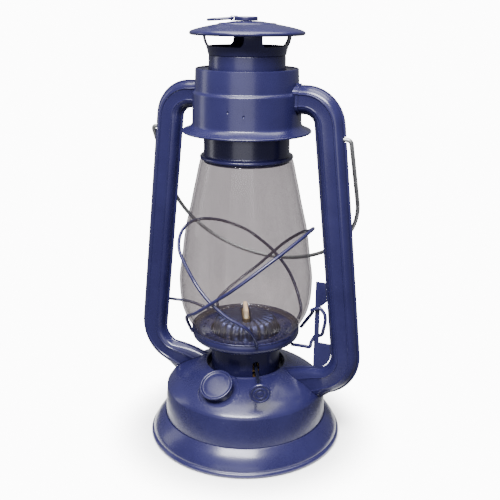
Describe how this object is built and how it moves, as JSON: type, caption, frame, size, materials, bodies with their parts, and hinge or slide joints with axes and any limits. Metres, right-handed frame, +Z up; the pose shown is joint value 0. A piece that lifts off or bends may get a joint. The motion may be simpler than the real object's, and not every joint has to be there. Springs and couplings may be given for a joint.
{
  "type": "hurricane lantern",
  "caption": "Tubular kerosene lantern with a glass globe, side air tubes, spring-loaded chimney hood, flat-wick burner, flared tank and wire bail.",
  "frame": {"origin": "centre of the foot on the plane it stands on", "axes": "+Z up along the globe's axis, side tubes along X, filler cap and wick knob towards -Y"},
  "size_m": [0.176, 0.1444, 0.3061],
  "materials": {
    "blue_paint": "dark blue metallic enamel, glossy",
    "globe_glass": "clear blown glass",
    "brass": "bare brass of the burner's inner pieces",
    "burner_steel": "darkened steel of the flame cone and shaft",
    "bright_wire": "bare galvanised wire",
    "wick_cotton": "woven cotton tape",
    "gasket": "cork washer"
  },
  "bodies": {
    "lantern_frame": {"fount_shell": "blue_paint", "fount_bottom": "blue_paint", "base_flange": "blue_paint", "filler_neck": "blue_paint", "burner_collar": "brass", "burner_drum": "blue_paint", "burner_diffuser": "brass", "burner_cone": "burner_steel", "wick_tube": "brass", "side_tube_left": "blue_paint", "side_tube_right": "blue_paint", "lift_bracket": "blue_paint", "air_chamber": "blue_paint", "chamber_floor": "blue_paint", "intake_screen": "blue_paint", "chimney_spring": "bright_wire"},
    "globe_carrier": {"globe_plate": "blue_paint", "globe_seat": "blue_paint", "globe": "globe_glass", "guard_wire_left": "blue_paint", "guard_wire_right": "blue_paint", "lift_lever": "blue_paint", "guide_wire": "blue_paint"},
    "hood_assembly": {"globe_bell": "blue_paint", "chimney_tube": "blue_paint", "crown": "blue_paint", "hood": "blue_paint", "hood_boss": "blue_paint"},
    "pull_ring": {"hood_ring": "bright_wire"},
    "carrying_bail": {"bail": "bright_wire"},
    "wick_spindle": {"wick_shaft": "burner_steel", "wick_wheel_inner": "brass", "wick_wheel_outer": "brass", "wick_knob": "blue_paint"},
    "wick_tape": {"wick": "wick_cotton"},
    "filler_seal": {"filler_gasket": "gasket"},
    "filler_lid": {"filler_cap": "blue_paint"}
  },
  "joints": [
    {"name": "globe_lift", "type": "slide", "parent": "lantern_frame", "child": "globe_carrier", "axis": [0, 0, 1], "range_m": [0, 0.012], "deforming": ["chimney_spring"]},
    {"name": "hood_lift", "type": "slide", "parent": "globe_carrier", "child": "hood_assembly", "axis": [0, 0, 1], "range_m": [0, 0.018], "stiffness_N_per_m": 150, "springref_m": -0.02, "deforming": ["chimney_spring"]},
    {"name": "ring_flip", "type": "hinge", "parent": "hood_assembly", "child": "pull_ring", "pos_m": [-0.00884, -0.00375, 0.3045], "axis": [-0.3907, 0.9205, 0], "range_deg": [0, 140]},
    {"name": "bail_swing", "type": "hinge", "parent": "lantern_frame", "child": "carrying_bail", "pos_m": [0, 0, 0.229], "axis": [1, 0, 0], "range_deg": [0, 305]},
    {"name": "knob_turn", "type": "hinge", "parent": "lantern_frame", "child": "wick_spindle", "pos_m": [0.00506, 0.00262, 0.0652], "axis": [-0.4585, 0.8844, 0.0872], "range_deg": [-85, 114]},
    {"name": "wick_raise", "type": "slide", "parent": "lantern_frame", "child": "wick_tape", "axis": [0, 0, 1], "range_m": [-0.006, 0.008]},
    {"name": "cap_lift", "type": "slide", "parent": "lantern_frame", "child": "filler_seal", "axis": [-0.038, -0.5433, 0.8387], "range_m": [0, 0.0048]},
    {"name": "cap_turn", "type": "hinge", "parent": "filler_seal", "child": "filler_lid", "pos_m": [-0.00276, -0.0395, 0.0476], "axis": [-0.038, -0.5433, 0.8387], "range_deg": [0, 540]}
  ],
  "couplings": [
    {"joint": "wick_raise", "follows": "knob_turn", "m_per_rad": 0.004},
    {"joint": "cap_lift", "follows": "cap_turn", "m_per_rad": 0.0005}
  ]
}
